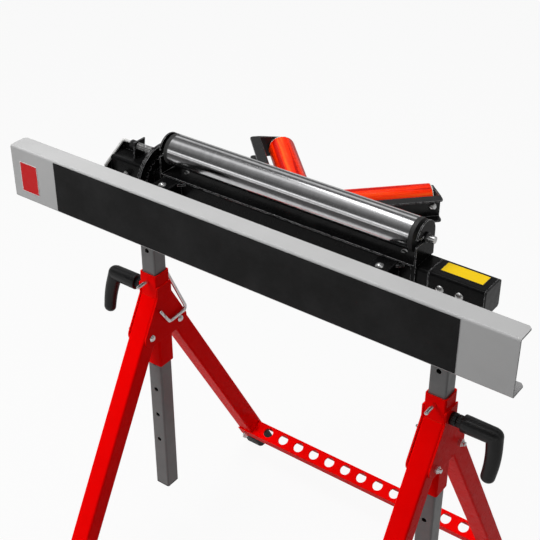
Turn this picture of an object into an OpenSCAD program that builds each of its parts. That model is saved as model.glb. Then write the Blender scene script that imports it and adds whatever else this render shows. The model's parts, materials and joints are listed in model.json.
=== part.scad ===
// Roller stand: a turning work head on two telescopic posts with folding legs.
// X runs along the head, Y from front to back and Z up.
// The origin is on the floor, under the middle of the stand.
// The head carries a steel roller on top, a fence channel in front and a V of two rollers behind.

/* [Frame] */
// Distance between the centres of the two posts
post_span = 630; // [600:1:680]
// Tilt of the open legs from the vertical
leg_angle = 29; // [25:0.5:31]
// Height of the leg pivots above the floor
pivot_z = 534.5; // [500:0.5:600]
// Distance of a leg pivot from the middle of its post, front to back
pivot_y = 42.5; // [42:0.5:48]
// Diameter of the pivot bolts and of all the other main bolts
bolt_d = 8; // [6:1:8]

/* [Legs] */
// Outer width of the square leg tube
leg_w = 39; // [32:0.5:39]
// Wall of the leg tube
leg_wall = 2; // [1.5:0.1:3]
// Width of the cross brace, front to back
brace_w = 34; // [30:1:36]
// Height of the flanges of the cross brace
brace_h = 30; // [20:1:36]
// Sheet thickness of the cross brace
brace_t = 2.5; // [2:0.1:4]
// Distance of the brace from the pivot, along the leg
brace_drop = 525; // [440:1:530]
// Diameter of the lightening holes in the brace
brace_hole_d = 23.5; // [12:0.5:26]
// Distance between the lightening holes
brace_hole_pitch = 43; // [34:1:60]
// Thickness of the rubber sole under each leg
foot_sole = 6; // [4:0.5:10]
// Wall of the rubber foot around the leg
foot_wall = 3; // [2:0.5:5]
// Height of the rubber foot above the floor
foot_h = 34; // [25:1:40]

/* [Sleeves] */
// Outer width of the square sleeve tube
sleeve_w = 40.5; // [40:0.5:44]
// Wall of the sleeve tube
sleeve_wall = 2.75; // [2:0.05:2.75]
// Length of the sleeve
sleeve_h = 216; // [200:1:260]
// Height of the sleeve above the leg pivots
sleeve_up = 129.5; // [120:0.5:150]
// Thickness of the cheek plates that carry the legs
cheek_t = 3; // [2.5:0.1:4]
// Height of the cheek plate above the pivots
cheek_up = 104; // [95:1:110]

/* [Posts] */
// Outer width of the square post
post_w = 34; // [28:0.5:34]
// Wall of the post
post_wall = 2; // [1.5:0.1:2.5]
// Length of the post below the head
post_len = 730; // [690:1:750]
// Distance between the height holes
hole_pitch = 67; // [60:1:68]
// Diameter of the height holes
hole_d = 10; // [8.5:0.1:11]
// Number of height holes
hole_count = 8; // [7:1:8]
// Distance of the top height hole below the head axis
hole_drop = 161.5; // [158:0.5:170]

/* [Height pins] */
// Diameter of the bent locking pins
pin_d = 7; // [5:0.5:7.5]
// Distance of the pin below the top of the sleeve
pin_drop = 16; // [15:0.5:22]
// Length of pin that stands out in front of the sleeve
pin_nose = 31; // [15:1:35]
// Radius of the bends in the pin, to the middle of the rod
pin_bend_r = 8; // [5:0.5:9]

/* [Clamp levers] */
// Distance of the clamp axis below the top of the sleeve
clamp_drop = 46.5; // [44:0.5:55]
// Diameter of the clamp screw
clamp_d = 10; // [8:1:12]
// Distance of the lever barrel from the cheek
clamp_reach = 23; // [18:1:30]
// Diameter of the lever barrel
barrel_d = 32; // [24:1:34]
// Length of the lever barrel
barrel_len = 73; // [56:1:80]
// Length of the lever arm from the clamp axis
arm_len = 74; // [60:1:84]
// Lean of the lever arm towards the front
arm_lean = 15; // [0:1:40]

/* [Head beam] */
// Outer width of the square head tube
beam_w = 50; // [48:1:54]
// Wall of the head tube
beam_wall = 2.5; // [2:0.1:3]
// Overall length of the head, housings included
head_len = 764; // [740:1:800]
// Length of the fixed housing at each end
housing_len = 97; // [92:1:104]
// Running gap between the turning beam and a housing
turn_gap = 1; // [0.6:0.1:2]
// Diameter of the trunnion spigots
spigot_d = 28; // [20:1:30]
// Length of spigot inside the turning beam
spigot_in = 34; // [25:1:45]

/* [Index plates] */
// Radius of the two index plates
plate_r = 66; // [60:0.5:68]
// Thickness of each index plate
plate_t = 3; // [2:0.5:4]
// Distance of the index pin from the head axis
index_r = 48; // [44:0.5:52]
// Diameter of the index pin
index_d = 8; // [6:0.5:8]
// Angle between two index holes
index_step = 15; // [15:15:45]

/* [Work roller] */
// Outer diameter of the steel roller
roller_d = 57; // [50:0.5:60]
// Wall of the steel roller
roller_wall = 2; // [1.5:0.1:3]
// Length of the steel roller, end caps included
roller_len = 502; // [460:1:504]
// Height of the roller axis above the head axis
roller_up = 67.5; // [64:0.5:75]
// Shift of the roller and its frame to the right
roller_shift = 2; // [0:0.5:3]
// Diameter of the roller axle
axle_d = 12; // [10:0.5:12]
// Distance between the outer faces of the roller frame
frame_len = 522; // [518:1:524]
// Sheet thickness of the roller frame
frame_t = 3; // [2:0.5:4]
// Width of the roller frame, front to back
frame_w = 57; // [54:1:64]

/* [Fence channel] */
// Length of the fence channel
fence_len = 1000; // [900:1:1100]
// Height of the fence channel
fence_h = 104; // [90:0.5:110]
// Depth of the flanges
fence_d = 38; // [30:1:45]
// Sheet thickness of the fence channel
fence_t = 3; // [2:0.5:4]
// Outer bend radius of the fence channel
fence_bend_r = 4; // [3.5:0.5:12]
// Distance of the front face from the head axis
fence_y = 156; // [150:1:170]
// Height of the bottom edge against the head axis
fence_low = -39; // [-48:0.5:-30]
// Length of the grip strip
strip_len = 800; // [700:1:880]
// Distance between the two arms of the fence
arm_span = 446; // [430:1:452]
// Shift of the two arms to the left
arm_shift = 9; // [0:1:9]

/* [V rollers] */
// Angle of each V arm from the head beam
v_angle = 45; // [40:0.5:48]
// Distance of the point where the two roller axes meet, behind the head axis
v_y = 44; // [40:1:56]
// Height of the V rollers above the head axis
v_up = 12; // [8:0.5:14]
// Diameter of the V rollers
v_roller_d = 50; // [40:1:54]
// Length of the V rollers
v_roller_len = 176; // [150:1:190]
// Start of the V rollers, measured from the V point
v_start = 47.5; // [44:0.5:50]
// Height of the V channel
v_channel_h = 42; // [38:1:48]
// Depth of the V channel's flanges
v_channel_d = 20; // [16:0.5:24]
// Sheet thickness of the V channel
v_channel_t = 2.5; // [2:0.1:3.5]

/* [Hidden] */
$fn = 48;

// Colours
red = "#c8140f";
grey_paint = "#6a6c6e";
black_paint = "#1d1d1f";
silver_paint = "#b9bbbd";
zinc = "#c4c6c8";
rubber = "#141414";
orange_red = "#e2330f";

// Clearances and overruns
cut = 2;              // overrun of a cutting shape past the face that it cuts
run_gap = 0.05;       // radial running gap of a shaft in its bore
seat_gap = 0.1;       // gap between two flat faces that pass or seat on each other
slide_gap = 0.5;      // gap between the post and its sleeve on each side
thread_gap = 0.05;    // radial gap of a bolt in its nut
label_t = 0.6;        // thickness of a stuck label

// Heights and places that follow from the driving sizes
sleeve_top = pivot_z + sleeve_up;
pin_z = sleeve_top - pin_drop;
clamp_z = sleeve_top - clamp_drop;
axis_z = pin_z + hole_pitch + hole_drop;
post_x = post_span / 2;
beam_half = beam_w / 2;
post_top = axis_z - beam_half;
housing_end = head_len / 2;
housing_in = housing_end - housing_len;
sleeve_half = sleeve_w / 2;
cheek_out = sleeve_half + cheek_t;

// Rounded corners of the tubes
tube_r = 4;           // outer corner radius of legs, sleeves and posts
beam_r = 5;           // outer corner radius of the head tube
block_gap = 0.1;      // gap of a block in its tube, on each side
block_r = 4;          // corner radius of a block in a tube

// Bolts
head_r = bolt_d * 0.95;       // radius of a bolt's dome head
head_h = bolt_d * 0.62;       // height of a bolt's dome head
nut_r = bolt_d * 0.92;        // corner radius of a hexagon nut
nut_h = bolt_d * 0.8;         // height of the hexagon
collar_r = bolt_d * 0.72;     // radius of the nut's locking collar
collar_h = bolt_d * 0.22;     // height of the nut's locking collar
tail = bolt_d * 0.5;          // bolt end that stands out of its nut
washer_t = (sleeve_w - leg_w) / 2 - seat_gap;
washer_r = bolt_d * 1.1;      // radius of the nylon washers beside a leg

// Round corner square, centred
module round_square(w, h, r) {
    square([w - 2 * r, h], center = true);
    square([w, h - 2 * r], center = true);
    for (x = [-1, 1], y = [-1, 1]) translate([x * (w / 2 - r), y * (h / 2 - r)]) circle(r);
}

// Square tube along Z from 0 to len
module square_tube(w, wall, len, r) {
    difference() {
        linear_extrude(len) round_square(w, w, r);
        translate([0, 0, -cut]) linear_extrude(len + 2 * cut)
            round_square(w - 2 * wall, w - 2 * wall, r - wall / 2);
    }
}

// The two sides of the stand, at the posts
module at_posts() {
    for (s = [-1, 1]) translate([s * post_x, 0, 0]) children();
}

// Turns a shape drawn along Z to run along X or along Y
module along_x() { rotate([0, 90, 0]) children(); }
module along_y() { rotate([-90, 0, 0]) children(); }

// Dome head on the XY plane
module dome(r, h) {
    ball = (r * r + h * h) / (2 * h);
    intersection() {
        cylinder(r = r, h = h);
        translate([0, 0, h - ball]) sphere(ball);
    }
}

// Bolt along Z: its head lies above z = 0 and its shank reaches down by len
module dome_bolt(d, len) {
    dome(d * head_r / bolt_d, d * head_h / bolt_d);
    translate([0, 0, -len]) cylinder(d = d, h = len);
}

// Locking nut on the XY plane, towards -Z
module lock_nut(d) {
    k = d / bolt_d;
    difference() {
        union() {
            translate([0, 0, -k * nut_h]) cylinder(r = k * nut_r, h = k * nut_h, $fn = 6);
            translate([0, 0, -k * (nut_h + collar_h)]) cylinder(r = k * collar_r, h = k * nut_h);
        }
        translate([0, 0, -k * (nut_h + collar_h) - cut])
            cylinder(r = d / 2 + thread_gap, h = k * (nut_h + collar_h) + 2 * cut);
    }
}

// Closed skin over equal rings of points that follow one another
module skin(points, sides) {
    rings = len(points) / sides - 1;
    walls = [for (i = [0:rings - 1], k = [0:sides - 1]) let (n = (k + 1) % sides)
        each [[i * sides + k, i * sides + n, (i + 1) * sides + n],
            [i * sides + k, (i + 1) * sides + n, (i + 1) * sides + k]]];
    ends = concat(
        [for (k = [1:sides - 2]) [0, k + 1, k]],
        [for (k = [1:sides - 2]) [rings * sides, rings * sides + k, rings * sides + k + 1]]);
    polyhedron(points, concat(walls, ends));
}

// Places a shape at a leg pivot of the left post: side is -1 for front and 1 for back
module at_pivot(side) { translate([0, side * pivot_y, pivot_z]) children(); }

// Leg directions: local Z runs up along the leg, local Y points towards the back
module leg_frame(side) { at_pivot(side) rotate([side * leg_angle, 0, 0]) children(); }

/* Base */
brace_x = post_x - leg_w / 2;                 // end of the brace at the leg's side

// Cheek plate seen from the side: its slanted edges lie flush with the open legs
module cheek_outline() {
    r = leg_w / 2;
    wide = pivot_y + r * cos(leg_angle);
    rise = r * sin(leg_angle);
    shoulder = rise + (wide - sleeve_half) / tan(leg_angle);
    for (s = [-1, 1]) {
        polygon([
            [0, cheek_up], [s * sleeve_half, cheek_up], [s * sleeve_half, shoulder],
            [s * wide, rise], [s * pivot_y, 0], [s * pivot_y, -r], [0, -r]]);
        translate([s * pivot_y, 0]) circle(r);
    }
}

// Sleeve with its two cheek plates, centred on its post, and the clamp screw's bore outside
module sleeve(s) {
    color(red) difference() {
        union() {
            translate([0, 0, sleeve_top - sleeve_h])
                square_tube(sleeve_w, sleeve_wall, sleeve_h, tube_r);
            for (s = [-1, 1]) translate([s * (sleeve_half + cheek_t / 2), 0, pivot_z])
                rotate([90, 0, 90]) linear_extrude(cheek_t, center = true)
                    difference() {
                        cheek_outline();
                        for (y = [-1, 1]) translate([y * pivot_y, 0])
                            circle(bolt_d / 2 + run_gap);
                    }
        }
        translate([0, -sleeve_half - cut, pin_z]) along_y()
            cylinder(d = pin_d + 4 * run_gap, h = sleeve_w + 2 * cut);
        translate([0, 0, clamp_z]) rotate([0, s * 90, 0])
            cylinder(r = clamp_d / 2 + run_gap, h = cheek_out + cut);
    }
}

module sleeve_left() { translate([-post_x, 0, 0]) sleeve(-1); }
module sleeve_right() { translate([post_x, 0, 0]) sleeve(1); }

// Pivot bolts, heads towards the middle of the stand
module leg_pivot_bolts() {
    len = 2 * cheek_out + nut_h + collar_h + tail;
    color(zinc) for (s = [-1, 1], side = [-1, 1]) translate([s * post_x, 0, 0]) at_pivot(side)
        translate([-s * cheek_out, 0, 0]) rotate([0, -s * 90, 0]) dome_bolt(bolt_d, len);
}

module leg_pivot_nuts() {
    color(zinc) for (s = [-1, 1], side = [-1, 1]) translate([s * post_x, 0, 0]) at_pivot(side)
        translate([s * cheek_out, 0, 0]) rotate([0, -s * 90, 0]) lock_nut(bolt_d);
}

module leg_washers() {
    color("#d9d6cc") for (s = [-1, 1], side = [-1, 1], k = [-1, 1])
        translate([s * post_x + k * (sleeve_half - washer_t / 2), 0, 0]) at_pivot(side)
            along_x() difference() {
                cylinder(r = washer_r, h = washer_t, center = true);
                cylinder(r = bolt_d / 2 + run_gap, h = washer_t + 2 * cut, center = true);
            }
}

// Threaded bosses on the outer cheeks for the clamp screws
boss_h = clamp_d * 1.2;
boss_r = clamp_d * 1.2;
module clamp_bosses() {
    color(red) for (s = [-1, 1])
        translate([s * (post_x + cheek_out), 0, clamp_z]) rotate([0, s * 90, 0])
            difference() {
                cylinder(r = boss_r, h = boss_h, $fn = 6);
                translate([0, 0, -cut]) cylinder(r = clamp_d / 2 + run_gap, h = boss_h + 2 * cut);
            }
}

/* Legs */
leg_up = [28, 110];    // tube above the pivot at the back, under the bail, and in front
leg_run = pivot_z / cos(leg_angle);           // pivot to floor along the leg
foot_w = leg_w + 2 * foot_wall;

// One leg on its own post line: side is -1 for front and 1 for back
module leg(side) {
    stop = sleeve_half + seat_gap;
    up = leg_up[side > 0 ? 0 : 1];
    color(red) difference() {
        leg_frame(side) difference() {
            translate([0, 0, -leg_run - leg_w]) square_tube(leg_w, leg_wall,
                leg_run + leg_w + up, tube_r);
            along_x() cylinder(r = bolt_d / 2 + run_gap, h = leg_w + 2 * cut, center = true);
            translate([0, 0, -brace_bolt_drop]) along_y()
                cylinder(d = bolt_d + 2 * run_gap, h = leg_w + 2 * cut, center = true);
        }
        // the top is cut along the sleeve's face, which stops the open leg
        translate([-leg_w, side > 0 ? -leg_w : -stop, pivot_z - sleeve_h])
            cube([2 * leg_w, leg_w + stop, 2 * sleeve_h]);
        // the bottom is cut level on the rubber sole
        translate([-leg_w, side * (pivot_y + leg_run * sin(leg_angle)) - 3 * leg_w,
            foot_sole - 3 * leg_w]) cube([2 * leg_w, 6 * leg_w, 3 * leg_w]);
    }
}

// Cross brace: a web square to the legs, with one flange over the legs' inner faces
brace_bolt_drop = brace_drop + brace_h / 2;
brace_over = post_x + leg_w / 2;              // end of the flange behind the legs
brace_holes = floor((2 * brace_x - brace_hole_pitch / 2) / brace_hole_pitch);
module brace(side) {
    inner = -leg_w / 2;
    color(red) leg_frame(side) mirror([0, side > 0 ? 0 : 1, 0]) difference() {
        union() {
            translate([-brace_x + seat_gap, inner, -brace_drop - brace_t])
                cube([2 * (brace_x - seat_gap), brace_w, brace_t]);
            translate([-brace_x + seat_gap, inner + brace_w - brace_t, -brace_drop - brace_h])
                cube([2 * (brace_x - seat_gap), brace_t, brace_h]);
            translate([-brace_over, inner - brace_t, -brace_drop - brace_h])
                cube([2 * brace_over, brace_t, brace_h]);
        }
        for (i = [0:brace_holes - 1])
            translate([(i - (brace_holes - 1) / 2) * brace_hole_pitch, inner + brace_w / 2,
                -brace_drop - brace_t - cut])
                cylinder(d = brace_hole_d, h = brace_t + 2 * cut);
        for (s = [-1, 1]) translate([s * post_x, inner, -brace_bolt_drop]) along_y()
            cylinder(d = bolt_d + 2 * run_gap, h = 2 * (brace_t + cut), center = true);
    }
}

// Bolts through the legs and the brace flange, with their nuts inside the stand
module brace_bolts(side) {
    len = leg_w + brace_t + nut_h + collar_h + tail;
    color(zinc) for (s = [-1, 1]) translate([s * post_x, 0, 0]) leg_frame(side)
        mirror([0, side > 0 ? 0 : 1, 0]) translate([0, 0, -brace_bolt_drop]) {
            translate([0, leg_w / 2, 0]) rotate([-90, 0, 0]) dome_bolt(bolt_d, len);
            translate([0, -leg_w / 2 - brace_t, 0]) rotate([-90, 0, 0]) lock_nut(bolt_d);
        }
}

// Rubber foot: a cup around the leg with a flat sole on the floor
module foot(side) {
    reach = side * (pivot_y + leg_run * sin(leg_angle));
    color(rubber) difference() {
        intersection() {
            leg_frame(side) translate([0, 0, -leg_run - leg_w])
                linear_extrude(3 * leg_w) round_square(foot_w, foot_w, tube_r + foot_wall);
            translate([-foot_w, reach - 2 * foot_w, 0]) cube([2 * foot_w, 4 * foot_w, foot_h]);
        }
        intersection() {
            leg_frame(side) translate([0, 0, -leg_run - 2 * leg_w])
                linear_extrude(4 * leg_w)
                    round_square(leg_w + 2 * run_gap, leg_w + 2 * run_gap, tube_r);
            translate([-foot_w, reach - 2 * foot_w, foot_sole])
                cube([2 * foot_w, 4 * foot_w, foot_h + leg_w]);
        }
    }
}

module leg_front_left() { translate([-post_x, 0, 0]) leg(-1); }
module leg_front_right() { translate([post_x, 0, 0]) leg(-1); }
module leg_back_left() { translate([-post_x, 0, 0]) leg(1); }
module leg_back_right() { translate([post_x, 0, 0]) leg(1); }
module brace_front() { brace(-1); }
module brace_back() { brace(1); }
module brace_bolts_front() { brace_bolts(-1); }
module brace_bolts_back() { brace_bolts(1); }
module feet_front() { at_posts() foot(-1); }
module feet_back() { at_posts() foot(1); }

/* Mast */
plug_t = 3;            // flange of a tube plug
plug_in = 14;          // depth of a plug in its tube

module post() {
    color(grey_paint) difference() {
        translate([0, 0, post_top - post_len]) square_tube(post_w, post_wall, post_len, tube_r);
        for (i = [0:hole_count - 1])
            translate([0, 0, axis_z - hole_drop - i * hole_pitch]) along_y()
                cylinder(d = hole_d, h = post_w + 2 * cut, center = true);
    }
}

module post_left() { translate([-post_x, 0, 0]) post(); }
module post_right() { translate([post_x, 0, 0]) post(); }

module post_plugs() {
    inside = post_w - 2 * post_wall - 2 * block_gap;
    color(rubber) at_posts() translate([0, 0, post_top - post_len - plug_t]) {
        linear_extrude(plug_t) round_square(post_w, post_w, tube_r);
        linear_extrude(plug_t + plug_in) round_square(inside, inside, block_r);
    }
}

// End housings, welded on top of the posts and bored for the two cross bolts
bolt_in = [76, 42];    // cross bolts from the housing's outer end
bolt_x = [for (b = bolt_in) housing_end - b];
module housing() {
    color(black_paint) translate([0, 0, axis_z]) difference() {
        translate([housing_in, 0, 0]) along_x()
            square_tube(beam_w, beam_wall, housing_len, beam_r);
        for (x = bolt_x) translate([x, 0, 0]) along_y()
            cylinder(r = bolt_d / 2 + run_gap, h = beam_w + 2 * cut, center = true);
    }
}

module housing_left() { mirror([1, 0, 0]) housing(); }
module housing_right() { housing(); }

module housing_cap() {
    inside = beam_w - 2 * beam_wall - 2 * block_gap;
    color(black_paint) translate([housing_end, 0, axis_z]) along_x() {
        linear_extrude(plug_t) round_square(beam_w, beam_w, beam_r);
        translate([0, 0, -plug_in]) linear_extrude(plug_in + plug_t)
            round_square(inside, inside, block_r);
    }
}

// Trunnions: a square block bolted into each housing, with a spigot that carries the beam
block_w = beam_w - 2 * beam_wall - 2 * block_gap;
block_len = housing_len - plug_in - plug_t;
beam_end = [-(housing_in - turn_gap - 2 * plate_t), housing_in - turn_gap];
module trunnion(reach) {
    translate([housing_in, 0, axis_z]) difference() {
        union() {
            along_x() linear_extrude(block_len) round_square(block_w, block_w, block_r);
            translate([-reach, 0, 0]) along_x() cylinder(d = spigot_d, h = reach + plug_t);
        }
        for (x = bolt_x) translate([x - housing_in, 0, 0]) along_y()
            cylinder(r = bolt_d / 2 + run_gap, h = beam_w, center = true);
    }
}

module trunnions() {
    color("#8d9094") {
        mirror([1, 0, 0]) trunnion(housing_in + beam_end[0] + spigot_in);
        trunnion(turn_gap + spigot_in);
    }
}

// Cross bolts: heads in front on the right, nuts in front on the left
module housing_bolts() {
    len = beam_w + nut_h + collar_h + tail;
    color(zinc) for (s = [-1, 1], x = bolt_x) translate([s * x, -s * beam_half, axis_z])
        rotate([s * 90, 0, 0]) dome_bolt(bolt_d, len);
}

module housing_nuts() {
    color(zinc) for (s = [-1, 1], x = bolt_x) translate([s * x, s * beam_half, axis_z])
        rotate([s * 90, 0, 0]) lock_nut(bolt_d);
}

// Index plate on the left housing, with one hole for the pin
module index_plate_fixed() {
    color(black_paint) translate([-housing_in, 0, axis_z]) along_x() difference() {
        cylinder(r = plate_r, h = plate_t);
        translate([0, 0, -cut]) cylinder(r = spigot_d / 2 + slide_gap, h = plate_t + 2 * cut);
        translate([-index_r, 0, -cut])
            cylinder(r = index_d / 2 + run_gap, h = plate_t + 2 * cut);
    }
}

// Index bracket: an end plate on the left housing, a back web and an ear for the pin
ear_in = 44;           // ear's left face from the housing's outer end
ear_x = ear_in - housing_end;
ear_y = 20;            // back edge of the ear
ear_front = -11;       // front edge of the ear
ear_top = 57;          // top edge of the ear above the head axis
bracket_t = 3;         // sheet thickness of the bracket
web_y = 12;            // front face of the back web
web_top = 42;          // top edge of the back web above the head axis
plate_front = -40;     // front corner of the end plate
plate_rise = 9;        // height of the end plate's front corner above the head axis
module index_bracket() {
    color(black_paint) translate([0, 0, axis_z]) {
        translate([-housing_end - bracket_t, 0, 0]) rotate([90, 0, 90]) linear_extrude(bracket_t)
            polygon([
                [plate_front, -beam_half], [plate_front, plate_rise], [web_y, web_top],
                [web_y + bracket_t, web_top], [beam_half, beam_half], [beam_half, -beam_half]]);
        translate([-housing_end - bracket_t, web_y, beam_half])
            cube([housing_end + bracket_t + ear_x + bracket_t, bracket_t, web_top - beam_half]);
        translate([ear_x, 0, 0]) rotate([90, 0, 90]) difference() {
            linear_extrude(bracket_t) polygon([
                [ear_front, beam_half], [ear_front + bracket_t, ear_top], [ear_y, ear_top],
                [web_y + 2 * bracket_t, web_top], [web_y + 2 * bracket_t, beam_half]]);
            translate([0, index_r, -cut])
                cylinder(r = index_d / 2 + run_gap, h = bracket_t + 2 * cut);
        }
    }
}

// Spring between the ear and the pin's collar, one unbroken wire
spring_wire = 1.6;
spring_r = 5.9;                               // to the middle of the wire
spring_curls = 8;
spring_steps = 8;                             // rings in a curl
coil_sides = 6;
collar_t = 4;                                 // thickness of the pin's collar
collar_x = -housing_in - plate_t - slide_gap - 4 * collar_t;   // left face of the collar
spring_x0 = ear_x + bracket_t + spring_wire / 2 + seat_gap;
spring_x1 = collar_x - spring_wire / 2 - seat_gap;
spring_pitch = (spring_x1 - spring_x0) / spring_curls;
echo(least_gap_of_spring = spring_pitch * cos(atan2(spring_pitch, 2 * PI * spring_r))
    - spring_wire);
module wire_coil(r, wire, curls, steps, pitch) {
    lead = atan2(pitch, 2 * PI * r);
    points = [for (i = [0:curls * steps]) let (a = 360 * i / steps, m = [cos(a), sin(a)])
        for (k = [0:coil_sides - 1]) let (b = 360 * k / coil_sides, u = wire / 2 * cos(b),
            v = wire / 2 * sin(b))
            [(r + u) * m[0] + v * sin(lead) * m[1], (r + u) * m[1] - v * sin(lead) * m[0],
                pitch * i / steps + v * cos(lead)]];
    skin(points, coil_sides);
}

module index_spring() {
    color(zinc) translate([spring_x0, 0, axis_z + index_r]) along_x()
        wire_coil(spring_r, spring_wire, spring_curls, spring_steps, spring_pitch);
}

// Plain sticker on top of the right housing
label_size = [76, 29];
label_edge = 10;       // from the housing's outer end
label_back = 3.5;      // the label lies this far behind the middle
module setting_label() {
    color("#f2c811") translate([housing_end - label_edge - label_size[0],
        label_back - label_size[1] / 2, axis_z + beam_half]) cube([label_size[0], label_size[1], label_t]);
}

/* Head */
beam_len = beam_end[1] - beam_end[0];
module turning_beam() {
    color(black_paint) translate([beam_end[0], 0, axis_z]) along_x()
        square_tube(beam_w, beam_wall, beam_len, beam_r);
}

bush_len = 28;
module beam_bushes() {
    color("#e6e2d6") for (s = [0, 1]) translate([beam_end[s] - s * bush_len, 0, axis_z]) along_x()
        difference() {
            linear_extrude(bush_len) round_square(block_w, block_w, block_r);
            translate([0, 0, -cut])
                cylinder(r = spigot_d / 2 + run_gap, h = bush_len + 2 * cut);
        }
}

// Index plate on the beam: a hole at each step of the quarter turn
module index_plate_turning() {
    color(black_paint) translate([beam_end[0] - plate_t, 0, axis_z]) rotate([90, 0, 90])
        difference() {
            cylinder(r = plate_r, h = plate_t);
            translate([0, 0, -cut])
                cylinder(r = spigot_d / 2 + slide_gap, h = plate_t + 2 * cut);
            for (a = [0:index_step:90]) rotate([0, 0, 90 + a]) translate([index_r, 0, -cut])
                cylinder(r = index_d / 2 + run_gap, h = plate_t + 2 * cut);
        }
}

// Roller frame: a saddle plate on the beam with an upright at each end
tab_w = 8;             // width of the tabs over the beam's front
tab_drop = 31;         // reach of the tabs below the beam's top
slot_w = axle_d + 2 * seat_gap;
frame_end = frame_len / 2;
module upright() {
    difference() {
        union() {
            translate([-frame_w / 2, 0]) square([frame_w, roller_up - beam_half]);
            translate([0, roller_up - beam_half]) circle(frame_w / 2);
        }
        translate([0, roller_up - beam_half]) circle(slot_w / 2);
        translate([-frame_w, roller_up - beam_half - slot_w / 2]) square([frame_w, slot_w]);
    }
}

module roller_frame() {
    color(black_paint) translate([roller_shift, 0, axis_z + beam_half]) difference() {
        union() {
            translate([-frame_end, -frame_w / 2, 0]) cube([frame_len, frame_w, frame_t]);
            for (s = [-1, 1]) {
                translate([s * (frame_end - frame_t / 2), 0, 0]) rotate([90, 0, 90])
                    linear_extrude(frame_t, center = true) upright();
                translate([s * (frame_end - tab_w / 2) - tab_w / 2, -frame_w / 2, -tab_drop])
                    cube([tab_w, frame_w / 2 - beam_half, tab_drop + frame_t]);
            }
        }
        for (s = [-1, 1]) translate([s * screw_x, 0, 0])
            cylinder(d = screw_d + 2 * run_gap, h = 2 * (frame_t + cut), center = true);
    }
}

// Screws through the ends of the saddle
screw_d = 6;
screw_in = 37;         // from the frame's end
screw_x = frame_end - screw_in;
module frame_screws() {
    color(zinc) for (s = [-1, 1])
        translate([roller_shift + s * screw_x, 0, axis_z + beam_half + frame_t])
            dome_bolt(screw_d, frame_t);
}

axle_out = 16;         // axle beyond the frame at each end
module roller_axle() {
    color(zinc) translate([roller_shift - frame_end - axle_out, 0, axis_z + roller_up]) along_x()
        cylinder(d = axle_d, h = frame_len + 2 * axle_out);
}

clip_t = 3;            // thickness of the rings that hold the axle
module axle_clips() {
    color(zinc) for (s = [-1, 1]) translate([roller_shift + s * frame_end, 0, axis_z + roller_up])
        rotate([0, s * 90, 0]) difference() {
            cylinder(r = spacer_r, h = clip_t);
            translate([0, 0, -cut]) cylinder(r = axle_d / 2 + thread_gap, h = clip_t + 2 * cut);
        }
}

spacer_r = axle_d * 0.75;
module axle_spacers() {
    start = roller_len / 2 + seat_gap;
    color(zinc) for (s = [-1, 1]) translate([roller_shift + s * start, 0, axis_z + roller_up])
        rotate([0, s * 90, 0]) difference() {
            cylinder(r = spacer_r, h = frame_end - frame_t - start);
            translate([0, 0, -cut])
                cylinder(r = axle_d / 2 + run_gap, h = frame_end + 2 * cut);
        }
}

// Fence channel: web in front, flanges turned back, their corners clipped
clip = 5;              // clipped corner of each flange
module fence_profile() {
    r = fence_bend_r;
    difference() {
        union() {
            translate([r, 0]) square([fence_d - r, fence_h]);
            translate([0, r]) square([fence_d, fence_h - 2 * r]);
            for (z = [r, fence_h - r]) translate([r, z]) circle(r);
        }
        union() {
            translate([r, fence_t]) square([fence_d, fence_h - 2 * fence_t]);
            translate([fence_t, r]) square([fence_d, fence_h - 2 * r]);
            for (z = [r, fence_h - r]) translate([r, z]) circle(r - fence_t);
        }
    }
}

module fence_channel() {
    color(silver_paint) translate([0, -fence_y, axis_z + fence_low]) difference() {
        translate([-fence_len / 2, 0, 0]) rotate([90, 0, 90]) linear_extrude(fence_len)
            fence_profile();
        for (s = [-1, 1]) translate([s * fence_len / 2, fence_d, -cut]) rotate([0, 0, 45])
            translate([-clip, -clip, 0] / sqrt(2))
                cube([clip * sqrt(2), clip * sqrt(2), fence_h + 2 * cut]);
        for (x = web_screw_x, z = web_screw_z) translate([x, 0, z]) along_y()
            translate([0, 0, -cut]) cylinder(d = screw_d + 2 * run_gap, h = fence_t + 2 * cut);
        for (x = web_screw_x, z = web_screw_z) translate([x, 0, z]) along_y()
            cylinder(r1 = screw_d + run_gap, r2 = screw_d / 2 + run_gap, h = screw_d / 2);
    }
}

// Countersunk screws behind the strip hold the web on the arms
socket_w = 36;         // outer width of the arm sockets
arm_x = [-arm_span / 2 - arm_shift, arm_span / 2 - arm_shift];     // middles of the arms
arm_mid = beam_half - socket_w / 2;           // height of the arm's middle over the head axis
pad_screw = 24;        // distance of a pad's screws from the arm's middle
web_screw_x = [for (x = arm_x, k = [-1, 1]) x + k * pad_screw];
web_screw_z = [arm_mid - fence_low];
module web_screws() {
    color(zinc) for (x = web_screw_x, z = web_screw_z)
        translate([x, -fence_y, axis_z + fence_low + z]) along_y() {
            cylinder(r1 = screw_d, r2 = screw_d / 2, h = screw_d / 2);
            cylinder(d = screw_d, h = fence_t + arm_pad_t);
        }
}

strip_t = 1.2;
strip_shift = 7;       // the strip lies this far to the right of the middle
module grip_strip() {
    h = fence_h - 2 * fence_bend_r;
    color("#262626") translate([strip_shift - strip_len / 2, -fence_y - strip_t,
        axis_z + fence_low + fence_bend_r]) cube([strip_len, strip_t, h]);
}

badge_size = [42, 59];
badge_edge = 20;       // from the left end of the fence
badge_low = 18;        // above the fence's bottom edge
module badge_plate() {
    color(red) translate([-fence_len / 2 + badge_edge, -fence_y - label_t,
        axis_z + fence_low + badge_low]) cube([badge_size[0], label_t, badge_size[1]]);
}

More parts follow.
